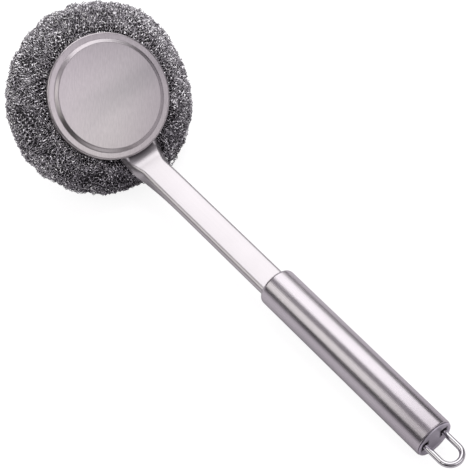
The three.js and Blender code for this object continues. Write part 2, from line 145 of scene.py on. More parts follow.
CAP_MORE = 0.3 * MM
CAP_SHIFT = Vector((0.58, -0.2, 0)) * MM
STEP_ROUND = 0.15
ARM_MORE = 0.5 * MM
ROUND_GROWS = (4 * MM, 24 * MM)
WALL_SINKS = (8 * MM, 42 * MM)
BEAD_ROUND = 0.3 * MM
CUT_BELOW = 2
CUT_RUN = 3

# Knit: name, height, first radius and number of pieces of each layer, then stitches, loose wire, slow
# and quick lumps, the fold around the side, and the room for cap, arm, claws and floor

LAYERS = (
    ("outer", -0.35 * MM, 12 * MM, 2),
    ("inner", -1.4 * MM, 27 * MM, 2),
)
LEAST_STITCHES = 6
STITCH_DEPTH = 0.35 * MM
STITCH_TALL = (0.7, 1.3)
STITCH_LIFT = 0.6
STITCH_SWAY = 0.08
LOOSE_SHARE = 0.16
LOOSE_RISE = 3.2
WIRE_TILT = 0.8
SLOW_WAVES = (14, (9 * MM, 24 * MM))
QUICK_WAVES = (30, (2.5 * MM, 6 * MM))
FREE_RUN = 5 * MM
DRIFT_LEAST_R = 4 * MM
STITCH_END = 0.5 * MM
KNIT_END = 2 * MM
FOLD_PLACE = 0.3
FOLD_WIDTH = 1.1 * MM
FOLD_TURN = math.radians(-40)
FOLD_REACH = math.radians(40)
FOLD_HOLD = 1.5
CLEAR = 0.45 * MM
SKIRT_SLOPE = 2
ARM_SLOPE = 1.6
CLAW_ROOM = 1.4 * MM
FLOOR_GAP = 0.25 * MM
CORE_DEPTH = 3.2 * MM

# Finishes: the colour sockets of a Mix node, grain and smudges of steel, flecks and patches of wire (scale,
# detail and roughness of their noise), tints of a base colour, all but the streak tone painted shade or painted
# reflection, and the ranges over which they change

MIX_LOW, MIX_HIGH, MIX_RESULT = 6, 7, 2
WHITE = (1, 1, 1)
NOISE_RANGE = (0.35, 0.65)
CAP_GRAIN = Matrix.Rotation(math.radians(-33), 4, "Z")
FINE_LINE = 0.3 * MM
ROLLED_LINE = 0.4 * MM
WIRE_LINE = 0.5 * MM
GRAIN_RUN = 14
GRAIN_DETAIL = 3
GRAIN_BUMP = 0.15
GRAIN_DEPTH = 0.02 * MM
SMUDGE = (60, 4, 0.6)
STEEL_SPREAD = 0.05
ROUGH_SPREAD = 0.025
FLECK = (520, 2)
PATCH = (60, 3)
WIRE_SPREAD = 0.35
WIRE_SHEEN = (-0.08, 0.1)
CORE_ROUGH = 0.5
CORE_SPREAD = 0.4
# Painted shade: the knit darker towards the handle's side of the head
KNIT_SHADE = (0.6, 0.59, 0.61)
KNIT_SHADE_REACH = (12 * MM, 46 * MM)
# Painted shade under the cap's rim, where the arm goes beneath it
ROOT_SHADE = (0.07, 0.065, 0.07)
ROOT_SHADE_REACH = (CAP_R + 1.4 * MM, CAP_R + 6 * MM)
ROOT_SHADE_HALF = (7 * MM, 9 * MM)
# Painted reflection: a darker band across the cap's middle, fading to one side
DARK_REFLECTION = (0.86, 0.87, 0.87)
DARK_REFLECTION_PLACE = 1.3 * MM
DARK_REFLECTION_WIDTH = 11 * MM
DARK_REFLECTION_FADE = (0.25 * CAP_R, -0.95 * CAP_R)
# Painted reflection: the cap cooler on one side and warmer on the other
COOL_REFLECTION = (1, 0.97, 0.99)
WARM_REFLECTION = (1, 1, 0.96)
# Painted shade: one side of the cap darker
SIDE_SHADE = (0.83, 0.84, 0.84)
# Painted shade: the cap darker towards one corner
CORNER_SHADE = (0.87, 0.84, 0.88)
CORNER_SHADE_REACH = 1.4 * CAP_R
STREAK = (300, 1500, 1500)
STREAK_DETAIL = 2
STREAK_TONE = (0.9, 0.9, 0.9)
# Painted shade: the tube darker towards its rear end
END_SHADE = (0.93, 0.92, 0.93)
END_SHADE_RUN = (12 * MM, 54 * MM)
# Painted shade in the end cap's slots, around the loop's legs
SLOT_SHADE = (0.12, 0.11, 0.12)
SLOT_REACH = (1.9 * MM, 2.5 * MM)
SLOT_RUN = (2.2 * MM, 3.4 * MM)

# Studio: the floor as seen and as mirrored in the metal, the dark and the filled side of the room, and
# the sky as height and grey

STUDIO_TINT = (1, 0.93, 1.02)
SENSOR_MM = 36
FLOOR_R = 4.0
FLOOR_SEGMENTS = 96
FLOOR_MOTTLE = (30, 2)
FLOOR_TONE = (0.4, 0.41)
FLOOR_IN_VIEW = 0.87
FLOOR_IN_METAL = 0.38
SHADE_REACH = 0.08
SHADE_SAMPLES = 8
SHADE_POWER = 1.8
FRONT = (0.1, 0.4)
FRONT_TONE = 0.05
DARK_SIDE = (0.6, -0.8, 0.0)
DARK_ROOM = (0.55, 0.85)
DARK_TONE = 0.1
FILL_ROOM = (0.15, 0.6)
FILL_TONE = 0.19
SKY = ((0.0, 0.3), (0.09, 0.3), (0.13, 0.01), (0.3, 0.04), (0.55, 0.18), (1.0, 0.28))

# Softboxes: name, degrees around the X axis, distance from it, run along it, width, radiance and tint

LAMPS = (
    ("softbox_top", 60, 1.2, (-1.7, 0.02), 1.28, 1.22, (1, 0.985, 1)),
    ("softbox_side", 22.5, 1.2, (-1.7, -0.26), 0.4, 0.46, (1, 0.97, 1)),
    ("softbox_left", 133.7, 1.2, (-1.7, -0.08), 0.76, 0.84, (1, 0.985, 0.95)),
    ("softbox_near", 133.7, 1.2, (0.05, 0.35), 0.6, 0.9, (1, 0.985, 0.97)),
    ("softbox_right", 63, 1.0, (0.6, 1.5), 0.9, 0.78, (1, 0.97, 1)),
)


# Sizes and finishes that a user would change

def length(name, description, default):
    """A length, given in millimetres."""
    return FloatProperty(
        name=name, description=description, default=default * MM, unit="LENGTH", precision=5,
    )


def degrees(name, description, default):
    """An angle, given in degrees."""
    return FloatProperty(name=name, description=description, default=math.radians(default), subtype="ANGLE")


def colour(name, description, default):
    """A linear colour."""
    return FloatVectorProperty(
        name=name, description=description, default=default, size=3, min=0, max=1, subtype="COLOR",
    )


def share(name, description, default):
    """A number from 0 to 1."""
    return FloatProperty(
        name=name, description=description, default=default, min=0, max=1, subtype="FACTOR",
    )


class SheetSizes(bpy.types.PropertyGroup):
    """Sheet steel of the head, arm and handle."""

    cap_sheet: length("Cap sheet", "Thickness of the head cap", 0.8)
    cap_middle: length("Cap middle", "Radius of the cap's flat middle", 26.4)
    cap_step: length("Cap step", "Run of the step around the middle", 2.4)
    cap_drop: length("Cap drop", "Height of the step", 1.45)
    cap_round: length("Rim round", "Radius of the cap's rim", 1)
    arm_sheet: length("Arm sheet", "Thickness of the arm", 1.1)
    arm_round: length("Arm edge", "Radius of the channel's long edges", 2.2)
    arm_depth: length("Arm depth", "Depth of the side walls at the handle", 3.6)
    root_round: length("Root edge", "Radius of the edges at the bend", 1.9)
    bend_radius: length("Bend", "Radius of the arm's bend", 10.5)
    root_depth: length("Root depth", "Depth of the side walls at the bend", 5.3)
    fold_lead: length("Fold lead", "Where the sides begin to fold before the bend", 10)
    fold_run: length("Fold run", "Length over which the sides fold down", 40)
    spread_lead: length("Spread lead", "Where the flat begins to narrow before the bend", 2)
    spread_run: length("Spread run", "Where the flat reaches its width past the bend", 12)
    tube_wall: length("Tube wall", "Wall of the handle tube", 0.8)
    tube_shoulder: length("Tube shoulder", "Radius of the tube's front shoulder", 2)
    tube_end: length("Tube end", "Radius of the tube's rear edge", 0.6)
    tube_mouth: length("Tube mouth", "Radius of the opening at the tube's front", 7.9)
    end_sheet: length("End sheet", "Thickness of the end cap", 1)
    end_skirt: length("End skirt", "Depth of the end cap inside the tube", 9)
    end_face: length("End face", "Radius of the end cap's flat face", 7.9)
    end_bead: length("End bead", "Height of the ring around the face", 0.5)
    end_round: length("End round", "Radius of the end cap's edge", 0.4)
    loop_half: length("Loop half width", "From the loop's middle to the wire's axis", 5.55)
    foot_bend: length("Foot bend", "Radius of the bends at the loop's feet", 1.8)
    edge: length("Edge", "Radius of a sheet's trimmed edges", 0.14)


class KnitSizes(bpy.types.PropertyGroup):
    """Knitted pad."""

    shoulder: length("Shoulder", "Radius where the pad's round side begins", 37)
    face: length("Face", "Radius of the flat working face", 15)
    dimple: length("Dimple", "Depth of the gathered middle of the face", 3)
    stitch: length("Stitch", "Width of a stitch", 2.5)
    course: length("Course", "Distance between rows of stitches", 1.35)
    reach: length("Reach", "Half height of a stitch", 0.9)
    wire_width: length("Wire width", "Width of the flat wire", 0.42)
    wire_thick: length("Wire thickness", "Thickness of the flat wire", 0.16)
    crumple: length("Crumple", "Height of the lumps in the knit", 0.28)
    drift: length("Drift", "How far the rows wander sideways", 1.2)
    fold: length("Fold", "Depth of the fold around the pad's side", 1.2)
    seed: IntProperty(name="Seed", description="Start of the random draws", default=7)


class SteelFinish(bpy.types.PropertyGroup):
    """Colours and sheen."""

    cap: colour("Cap steel", "Brushed sheet of the cap", (0.726, 0.7, 0.704))
    satin: colour("Satin steel", "Brushed tube of the handle", (0.7, 0.667, 0.692))
    pale: colour("Pale steel", "Brushed sheet of the arm", (0.735, 0.712, 0.718))
    end: colour("End steel", "Pressed end cap", (0.72, 0.68, 0.75))
    plain: colour("Plain steel", "Rolled sheet inside the head", (0.5, 0.485, 0.5))
    bright: colour("Bright wire", "Polished wire of the loop", (0.77, 0.765, 0.775))
    knit: colour("Knitted wire", "Flat wire of the pad", (0.94, 0.92, 0.955))
    shade: colour("Shaded wire", "Wire in the shade of the outer rows", (0.62, 0.605, 0.63))
    # The pad inside is dark as painted shade of the wire deep in the pad
    core: colour("Pad inside", "Packed wire below the pad's skin", (0.12, 0.116, 0.12))
    satin_rough: share("Satin roughness", "Roughness of brushed steel", 0.32)
    tube_rough: share("Tube roughness", "Roughness of the handle", 0.26)
    arm_rough: share("Arm roughness", "Roughness of the arm", 0.33)
    plain_rough: share("Plain roughness", "Roughness of rolled steel", 0.42)
    bright_rough: share("Bright roughness", "Roughness of polished wire", 0.06)
    knit_rough: share("Knit roughness", "Roughness of the pad's wire", 0.1)


class ViewSettings(bpy.types.PropertyGroup):
    """Camera of the product view."""

    azimuth: degrees("Azimuth", "Turn of the view, 0 looks along Y", 57.114)
    elevation: degrees("Elevation", "Height of the view above the horizon", 52.092)
    roll: degrees("Roll", "Turn of the camera about its view", -7.94)
    target: FloatVectorProperty(
        name="Target", description="Point in the middle of the view",
        default=(-0.0217, 0.0112, 0.0), subtype="XYZ",
    )
    distance: length("Distance", "From the target to the camera", 821.8)
    lens: FloatProperty(name="Lens", description="Focal length", default=126.15, unit="CAMERA")


def sheet_and_finish(context):
    """The scene's sheet sizes and finishes."""
    return context.scene.scourer_sheet, context.scene.scourer_finish


# Mesh helpers

def profile(points, rounds=None):
    """A bmesh with one open line through (along, radius) points, with some corners rounded."""
    bm = bmesh.new()
    line = [bm.verts.new((along, 0, radius)) for along, radius in points]
    for a, b in zip(line, line[1:]):
        bm.edges.new((a, b))
    for corner, (offset, steps) in (rounds or {}).items():
        bmesh.ops.bevel(
            bm, geom=[line[corner]], offset=offset, segments=steps,
            affect="VERTICES", profile=0.5, material=-1,
        )
    return bm


def turned(bm, steps):
    """Spins a line about the X axis into a closed skin."""
    bmesh.ops.spin(
        bm, geom=bm.verts[:] + bm.edges[:], cent=(0, 0, 0), axis=(1, 0, 0),
        angle=FULL_TURN, steps=steps, use_merge=True,
    )
    bmesh.ops.remove_doubles(bm, verts=bm.verts[:], dist=WELD)
    bmesh.ops.recalc_face_normals(bm, faces=bm.faces[:])
    return bm


def grow(bm, ring):
    """Extrudes a closed ring of vertices and returns the new ring in the same order."""
    edges = [bm.edges.get((a, b)) for a, b in zip(ring, ring[1:] + ring[:1])]
    made = bmesh.ops.extrude_edge_only(bm, edges=edges)["geom"]
    fresh = {v for v in made if isinstance(v, bmesh.types.BMVert)}
    return [next(e.other_vert(v) for e in v.link_edges if e.other_vert(v) in fresh) for v in ring]


def lidded(bm):
    """Closes the open ends of a skin and turns its faces out."""
    bmesh.ops.remove_doubles(bm, verts=bm.verts[:], dist=WELD)
    bmesh.ops.dissolve_degenerate(bm, edges=bm.edges[:], dist=WELD)
    bmesh.ops.holes_fill(bm, edges=[e for e in bm.edges if e.is_boundary], sides=0)
    bmesh.ops.recalc_face_normals(bm, faces=bm.faces[:])


def softened(bm, radius):
    """Bevels the sharp edges."""
    sharp = [e for e in bm.edges if len(e.link_faces) == 2 and e.calc_face_angle() > EDGE_ANGLE]
    bmesh.ops.bevel(
        bm, geom=sharp, offset=radius, segments=EDGE_STEPS, affect="EDGES", profile=0.5,
        material=-1, clamp_overlap=True,
    )
    return bm


def moved(bm, place, verts=None):
    """Moves all or some vertices by a matrix."""
    bmesh.ops.transform(bm, matrix=place, verts=verts or bm.verts[:])
    return bm


def linked(name, data):
    """A new object at the origin, in the scene."""
    made = bpy.data.objects.new(name, data)
    bpy.context.scene.collection.objects.link(made)
    return made


def as_object(name, bm):
    """A bmesh as a new object."""
    mesh = bpy.data.meshes.new(name)
    bm.to_mesh(mesh)
    bm.free()
    return linked(name, mesh)


def evaluated(source):
    """Mesh of an object with its modifiers, or of a curve with its section."""
    graph = bpy.context.evaluated_depsgraph_get()
    return bpy.data.meshes.new_from_object(source.evaluated_get(graph))


def carved(bm, cutters):
    """Cuts closed bodies out of a closed body."""
    blank = as_object("blank", bm)
    tool = as_object("cutter", cutters)
    cut = blank.modifiers.new("cut", "BOOLEAN")
    cut.operation = "DIFFERENCE"
    cut.solver = "EXACT"
    cut.object = tool
    mesh = evaluated(blank)
    out = bmesh.new()
    out.from_mesh(mesh)
    for used in (blank.data, tool.data, mesh):
        bpy.data.meshes.remove(used)
    return out


def dress(piece, material, body, nodes):
    """Shades a piece smoothly, gives it its finish and sets it on its body in place of solids."""
    piece.data.shade_smooth()
    piece.data.set_sharp_from_angle(angle=SHARP)
    piece.data.materials.clear()
    piece.data.materials.append(material)
    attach(piece, body)
    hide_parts(*nodes)


# Shader nodes

def empty_tree(owner):
    """The cleared tree of nodes of a material or world."""
    owner.use_nodes = True
    owner.node_tree.nodes.clear()
    return owner.node_tree


def feed(tree, made, inputs):
    """Feeds a node's inputs with values or other nodes' outputs."""
    for name, value in inputs.items():
        if isinstance(value, bpy.types.NodeSocket):
            tree.links.new(value, made.inputs[name])
        else:
            made.inputs[name].default_value = value
    return made


def node(tree, kind, inputs=None, **settings):
    """Adds a node with its settings and inputs."""
    made = tree.nodes.new("ShaderNode" + kind)
    for name, value in settings.items():
        setattr(made, name, value)
    return feed(tree, made, inputs or {})


def maths(tree, operation, a, b=0):
    """Result of arithmetic on one or two values."""
    return node(tree, "Math", {0: a, 1: b}, operation=operation).outputs[0]


def scaled(tree, vector, factors):
    """A vector with each axis multiplied by its own factor."""
    return node(tree, "VectorMath", {0: vector, 1: factors}, operation="MULTIPLY").outputs[0]


def towards(tree, vector, way):
    """How far a vector reaches in a direction."""
    return node(tree, "VectorMath", {0: vector, 1: way}, operation="DOT_PRODUCT").outputs["Value"]


def noise(tree, vector, scale, detail, roughness=0.5):
    """Grey noise."""
    return node(tree, "TexNoise", {
        "Vector": vector, "Scale": scale, "Detail": detail, "Roughness": roughness,
    }).outputs[0]


def mapped(tree, value, source, target, **settings):
    """Maps one range of a value onto another."""
    return node(tree, "MapRange", {
        "Value": value, "From Min": source[0], "From Max": source[1],
        "To Min": target[0], "To Max": target[1],
    }, **settings).outputs[0]


def stretched(tree, value, low=0, high=1):
    """Spreads the usual range of a noise between two values."""
    return mapped(tree, value, NOISE_RANGE, (low, high))


def ranged(tree, value, low, high):
    """0 to 1, smoothly, as a value goes from low to high."""
    return mapped(tree, value, (low, high), (0, 1), interpolation_type="SMOOTHSTEP")


def average(tree, a, b):
    """Middle of two values."""
    return maths(tree, "MULTIPLY", maths(tree, "ADD", a, b), 0.5)


def colour_mix(tree, factor, low, high, **settings):
    """A colour between two colours."""
    inputs = {"Factor": factor, MIX_LOW: low, MIX_HIGH: high}
    return node(tree, "Mix", inputs, data_type="RGBA", **settings).outputs[MIX_RESULT]


def own_place(tree):
    """The piece's own coordinates."""
    return node(tree, "TexCoord").outputs["Object"]


def local_place(tree, place):
    """Coordinates of a local frame, in metres."""
    return node(tree, "Mapping", {
        "Vector": own_place(tree), "Location": place.translation, "Rotation": place.to_euler(),
    }, vector_type="TEXTURE").outputs[0]


def local_axes(tree, place):
    """The three coordinates of a local frame, one by one."""
    return node(tree, "SeparateXYZ", {0: local_place(tree, place)}).outputs


def new_material(name):
    """A material with its tree and its shader."""
    material = bpy.data.materials.new(name)
    tree = empty_tree(material)
    shader = node(tree, "BsdfPrincipled", {"Metallic": 1})
    node(tree, "OutputMaterial", {0: shader.outputs[0]})
    return material, tree, shader


# Finishes

def blend(tree, factor, base, spread):
    """The base colour, darker and lighter by a share as a factor goes from 0 to 1."""
    low = [c * (1 - spread) for c in base]
    high = [min(1, c * (1 + spread)) for c in base]
    return colour_mix(tree, factor, (*low, 1), (*high, 1))


def tinted(tree, factor, low, high):
    """Multiplies the base colour by a tint that goes from one colour to another."""
    tint = colour_mix(tree, factor, (*low, 1), (*high, 1))
    shader = next(n for n in tree.nodes if n.type == "BSDF_PRINCIPLED")
    base = shader.inputs["Base Color"].links[0].from_socket
    feed(tree, shader, {"Base Color": colour_mix(tree, 1.0, base, tint, blend_type="MULTIPLY")})


def steel(name, base, roughness, place, line):
    """Brushed steel: fine lines along X of a local frame and soft smudges. Returns it and its tree."""
    material, tree, shader = new_material(name)
    spot = local_place(tree, place)
    grain = noise(tree, scaled(tree, spot, (GRAIN_RUN, 1 / line, 1 / line)), 1, GRAIN_DETAIL)
    tone = average(tree, grain, noise(tree, spot, *SMUDGE))
    bump = node(tree, "Bump", {"Height": grain, "Strength": GRAIN_BUMP, "Distance": GRAIN_DEPTH})
    feed(tree, shader, {
        "Base Color": blend(tree, stretched(tree, tone), base, STEEL_SPREAD),
        "Roughness": stretched(tree, tone, roughness - ROUGH_SPREAD, roughness + ROUGH_SPREAD),
        "Normal": bump.outputs[0],
    })
    return material, tree


def wire_steel(name, base, roughness, spread):
    """Wire of the knit: tone and sheen change from stitch to stitch, and painted shade darkens the handle's side.
    """
    material, tree, shader = new_material(name)
    where = own_place(tree)
    fleck = noise(tree, where, *FLECK)
    tone = stretched(tree, average(tree, fleck, noise(tree, where, *PATCH)))
    feed(tree, shader, {
        "Base Color": blend(tree, tone, base, spread),
        "Roughness": stretched(tree, fleck, roughness + WIRE_SHEEN[0], roughness + WIRE_SHEEN[1]),
    })
    # painted shade, darker towards the handle's side
    tinted(tree, ranged(tree, local_axes(tree, HEAD)[X], *KNIT_SHADE_REACH), WHITE, KNIT_SHADE)
    return material


def painted_shade_and_streaks(tree):
    """Painted reflection and shade as slow changes of tone on the cap: a darker band that fades across it, a
    cooler and a warmer side, one side and one corner darker; and fine streaks of the grain.
    """
    along, across, _ = local_axes(tree, HEAD)
    away = maths(tree, "ABSOLUTE", maths(tree, "SUBTRACT", along, DARK_REFLECTION_PLACE))
    beside = ranged(tree, away, 0, DARK_REFLECTION_WIDTH)
    faded = ranged(tree, across, *DARK_REFLECTION_FADE)
    tinted(tree, maths(tree, "MAXIMUM", beside, faded), DARK_REFLECTION, WHITE)
    tinted(tree, ranged(tree, along, -CAP_R, CAP_R), COOL_REFLECTION, WARM_REFLECTION)
    tinted(tree, ranged(tree, across, -CAP_R, CAP_R), WHITE, SIDE_SHADE)
    tinted(tree, ranged(tree, maths(tree, "ADD", along, across), 0, CORNER_SHADE_REACH), WHITE, CORNER_SHADE)
    drawn = scaled(tree, local_place(tree, HEAD @ CAP_GRAIN), STREAK)
    tinted(tree, stretched(tree, noise(tree, drawn, 1, STREAK_DETAIL)), STREAK_TONE, WHITE)


def shaded_root(tree):
    """Painted shade in the corner where the arm meets the cap's rim."""
    along, across, _ = local_axes(tree, HEAD)
    flat = node(tree, "CombineXYZ", {0: along, 1: across}).outputs[0]
    far = node(tree, "VectorMath", {0: flat}, operation="LENGTH").outputs["Value"]
    past = ranged(tree, far, *ROOT_SHADE_REACH)
    beside = ranged(tree, maths(tree, "ABSOLUTE", across), *ROOT_SHADE_HALF)
    tinted(tree, maths(tree, "MAXIMUM", past, beside), ROOT_SHADE, WHITE)


def shaded_end(tree):
    """The tube's rear part, a little darker: painted shade."""
    tinted(tree, ranged(tree, local_axes(tree, GRIP)[X], *END_SHADE_RUN), WHITE, END_SHADE)


def shaded_slots(tree, half):
    """Painted shade in the end cap's slots, around the loop's legs."""
    _, across, up = local_axes(tree, GRIP)
    off_leg = maths(tree, "SUBTRACT", maths(tree, "ABSOLUTE", across), half)
    beside = ranged(tree, maths(tree, "ABSOLUTE", off_leg), *SLOT_REACH)
    above = ranged(tree, maths(tree, "ABSOLUTE", up), *SLOT_RUN)
    tinted(tree, maths(tree, "MAXIMUM", beside, above), SLOT_SHADE, WHITE)


# Arm

def held(value):
    """Value kept between 0 and 1."""
    return min(max(value, 0), 1)


def eased(t):
    """Smooth step for a share from 0 to 1."""
    return t * t * (3 - 2 * t)


def smooth(value, low, high):
    """Smooth step from 0 to 1 as a value goes from low to high."""
    return eased(held((value - low) / (high - low)))


def mixed(a, b, t):
    """Value between a and b."""
    return a + (b - a) * t


def top_at(grip_x):
    """Place on the arm's flat top, in the head's frame."""
    return TO_HEAD @ (GRIP @ Vector((grip_x, 0, ARM_TOP)))


def arm_stations(sheet):
    """Places along the arm: x, height, tilt, half of the flat, side, its fold and its bend's radius."""
    run = (TO_HEAD.to_3x3() @ GRIP_AXIS).normalized()
    tilt = math.atan2(run.z, run.x)
    on_top = top_at(0)
    corner = on_top.x - (on_top.z - TONGUE_TOP) / math.tan(tilt)
    setback = sheet.bend_radius * math.tan(tilt / 2)
    start = corner - setback
    bend_run = sheet.bend_radius * tilt
    root_flat = ARM_HALF - sheet.root_round
    most = sheet.root_depth - sheet.root_round

    def sides(along):
        fold = QUARTER * math.sin(QUARTER * held((along + sheet.fold_lead) / sheet.fold_run))
        spread = most * (1 - smooth(along, -sheet.spread_lead, sheet.spread_run))
        past = smooth(along, *ROUND_GROWS)
        bend = mixed(sheet.root_round, sheet.arm_round, past)
        depth = mixed(sheet.root_depth, sheet.arm_depth, smooth(along, *WALL_SINKS)) - spread
        flat = ARM_HALF + ARM_MORE * past - bend + spread
        return flat, depth - bend + bend * (QUARTER - fold), fold, bend

    def straight(along):
        out = setback + along - bend_run
        return corner + out * math.cos(tilt), TONGUE_TOP + out * math.sin(tilt), tilt, *sides(along)

    stations = []
    for i in range(1, ROUND_STEPS + 1):
        turn = QUARTER * i / ROUND_STEPS
        x = TONGUE_END + TONGUE_HALF * (1 - math.cos(turn))
        wide = (root_flat + most) * math.sin(turn)
        side = TONGUE_HALF * math.sin(turn) - wide
        stations.append((x, TONGUE_TOP, 0, wide, side, 0, sheet.root_round))
    for i in range(ROUND_STEPS):
        along = -sheet.fold_lead * (1 - i / ROUND_STEPS)
        stations.append((start + along, TONGUE_TOP, 0, *sides(along)))
    for i in range(BEND_STEPS + 1):
        turn = tilt * i / BEND_STEPS
        x = start + sheet.bend_radius * math.sin(turn)
        z = TONGUE_TOP + sheet.bend_radius * (1 - math.cos(turn))
        stations.append((x, z, turn, *sides(sheet.bend_radius * turn)))
    for i in range(1, FOLD_STEPS + 1):
        stations.append(straight(mixed(bend_run, WALL_SINKS[1], i / FOLD_STEPS)))
    ends = []
    for grip_x in (TUBE_FRONT, ARM_END):
        ends.append(straight((top_at(grip_x).x - corner) / math.cos(tilt) - setback + bend_run))
    return stations, ends


def strip_side(flat, side, fold, bend, inset):
    """Half of the arm's section: the side's tip, then its round up to the flat middle."""
    turns = [fold * i / ROUND_STEPS for i in range(ROUND_STEPS, -1, -1)]
    arc = [(flat + (bend - inset) * math.sin(t), (bend - inset) * math.cos(t) - bend) for t in turns]
    y, z = arc[0]
    return [(y + side * math.cos(fold), z - side * math.sin(fold)), *arc]


def channel_section(sides, thick):
    """Closed outline across the arm: y across, z down from the flat top."""
    outer = strip_side(*sides, 0)
    inner = strip_side(*sides, thick)
    flip = [(-y, z) for y, z in outer]
    back = [(-y, z) for y, z in inner]
    return [*flip, *reversed(outer), *inner, *reversed(back)]


def make_arm(sheet):
    """Skin of the arm, in the row's frame."""
    bm = bmesh.new()
    ring = None
    root, ends = arm_stations(sheet)
    for x, z, tilt, *sides in root + ends:
        section = [
            Vector((x - down * math.sin(tilt), y, z + down * math.cos(tilt)))
            for y, down in channel_section(sides, sheet.arm_sheet)
        ]
        if ring is None:
            ring = [bm.verts.new(p) for p in section]
            for a, b in zip(ring, ring[1:] + ring[:1]):
                bm.edges.new((a, b))
        else:
            ring = grow(bm, ring)
            for v, p in zip(ring, section):
                v.co = p
    lidded(bm)
    return moved(softened(bm, sheet.edge), HEAD)


# Knitted pad

def pad_outline():
    """Angles and radii of the solid pad's widest ring, in the head's frame."""
    x, y, _ = np.array(vertices("scourer_pad", HEAD)).T
    radii = np.hypot(x, y)
    steps = np.round(np.arctan2(y, x) / FULL_TURN * OUTLINE_STEPS).astype(int) % OUTLINE_STEPS
    widest = np.array([radii[steps == i].max() for i in range(OUTLINE_STEPS)])
    return np.arange(OUTLINE_STEPS) * FULL_TURN / OUTLINE_STEPS, widest


def pad_meridian(knit, radius):
    """Radius and height along the pad's skin, from the middle of its top to the middle of its face."""
    top = math.acos(knit.shoulder / radius)
    low = math.acos(knit.face / radius)
    half = (PAD_HIGH - PAD_LOW) / (math.sin(top) + math.sin(low))
    middle = PAD_LOW + half * math.sin(low)
    turns = np.linspace(top, -low, MERIDIAN_STEPS)
    r = np.concatenate(([0, CAP_R], radius * np.cos(turns), [0]))
    z = np.concatenate(([TONGUE_TOP] * 2, middle + half * np.sin(turns), [PAD_LOW + knit.dimple]))
    return r, z


class PadSkin:
    """Maps a length along the pad's meridian, an angle and a height to a point in the head's frame."""

    def __init__(self, knit, sheet):
        self.angles, self.widest = pad_outline()
        self.radius = float(np.mean(self.widest))
        self.r, self.z = pad_meridian(knit, self.radius)
        steps = np.hypot(np.diff(self.r), np.diff(self.z))
        self.s = np.concatenate(([0], np.cumsum(steps)))
        tangent = np.gradient(np.stack((self.r, self.z)), self.s, axis=1)
        tangent /= np.linalg.norm(tangent, axis=0)
        self.normal = np.stack((-tangent[1], tangent[0]))
        spots = []
        for x, z, tilt, *sides in arm_stations(sheet)[0]:
            low = strip_side(*sides, sheet.arm_sheet)[0][1]
            half = strip_side(*sides, 0)[0][0]
            spots.append((x - low * math.sin(tilt), z + low * math.cos(tilt), half))
        self.arm_x, self.arm_z, self.arm_half = np.array(spots).T

    def radius_at(self, s):
        """Radius of the meridian."""
        return np.interp(s, self.s, self.r)

    def raised(self, s, height):
        """Radius and z of points that stand off the meridian."""
        r = self.radius_at(s) + height * np.interp(s, self.s, self.normal[0])
        z = np.interp(s, self.s, self.z) + height * np.interp(s, self.s, self.normal[1])
        return r, z

    def points(self, s, angle, height):
        """Points of the lumpy pad."""
        r, z = self.raised(s, height)
        t = np.clip((r - CAP_R) / (self.radius - CAP_R), 0, 1)
        lump = np.interp(angle, self.angles, self.widest - self.radius, period=FULL_TURN)
        r = r + lump * eased(t)
        return self.kept_clear(np.stack((r * np.cos(angle), r * np.sin(angle), z), axis=1))

    def kept_clear(self, p):
        """Presses points down below the cap's skirt and the arm."""
        x, y, z = p.T
        rim = CAP_R + CAP_MORE + CAP_SHIFT.length
        skirt = CAP_SKIRT - CLEAR + SKIRT_SLOPE * np.maximum(np.hypot(x, y) - rim - CLEAR, 0)
        half = np.interp(x, self.arm_x, self.arm_half)
        floor = np.interp(x, self.arm_x, self.arm_z) - CLEAR
        beside = np.maximum(np.abs(y) - half - CLEAR, 0)
        before = np.maximum(self.arm_x[0] - CLEAR - x, 0)
        limit = np.minimum(skirt, floor + ARM_SLOPE * beside + ARM_SLOPE * before)
        return np.stack((x, y, np.minimum(z, limit)), axis=1)


def waves(rng, size, lengths):
    """A smooth random field in space, made of plane waves of some lengths."""
    ways = rng.normal(size=(size, 3))
    ways /= np.linalg.norm(ways, axis=1)[:, None]
    scale = FULL_TURN / rng.uniform(*lengths, size=size)
    shift = rng.uniform(0, FULL_TURN, size=size)

    def field(p):
        return np.sin(p @ (ways * scale[:, None]).T + shift).sum(axis=1) / math.sqrt(size / 2)

    return field


def fold_depth(skin, s, angle, fold):
    """How far the skin sinks along the fold on one side of the pad."""
    line = np.interp(FOLD_PLACE, (0, 1), (skin.s[1], skin.s[-2]))
    near = np.exp(-((s - line) / FOLD_WIDTH) ** 2)
    turn = (angle - FOLD_TURN + math.pi) % FULL_TURN - math.pi
    return fold * near * np.clip(FOLD_HOLD - np.abs(turn) / FOLD_REACH, 0, 1)


def around(spots, values):
    """Values between those given at whole numbers, around a closed row."""
    return np.interp(spots, np.arange(len(values)), values, period=len(values))


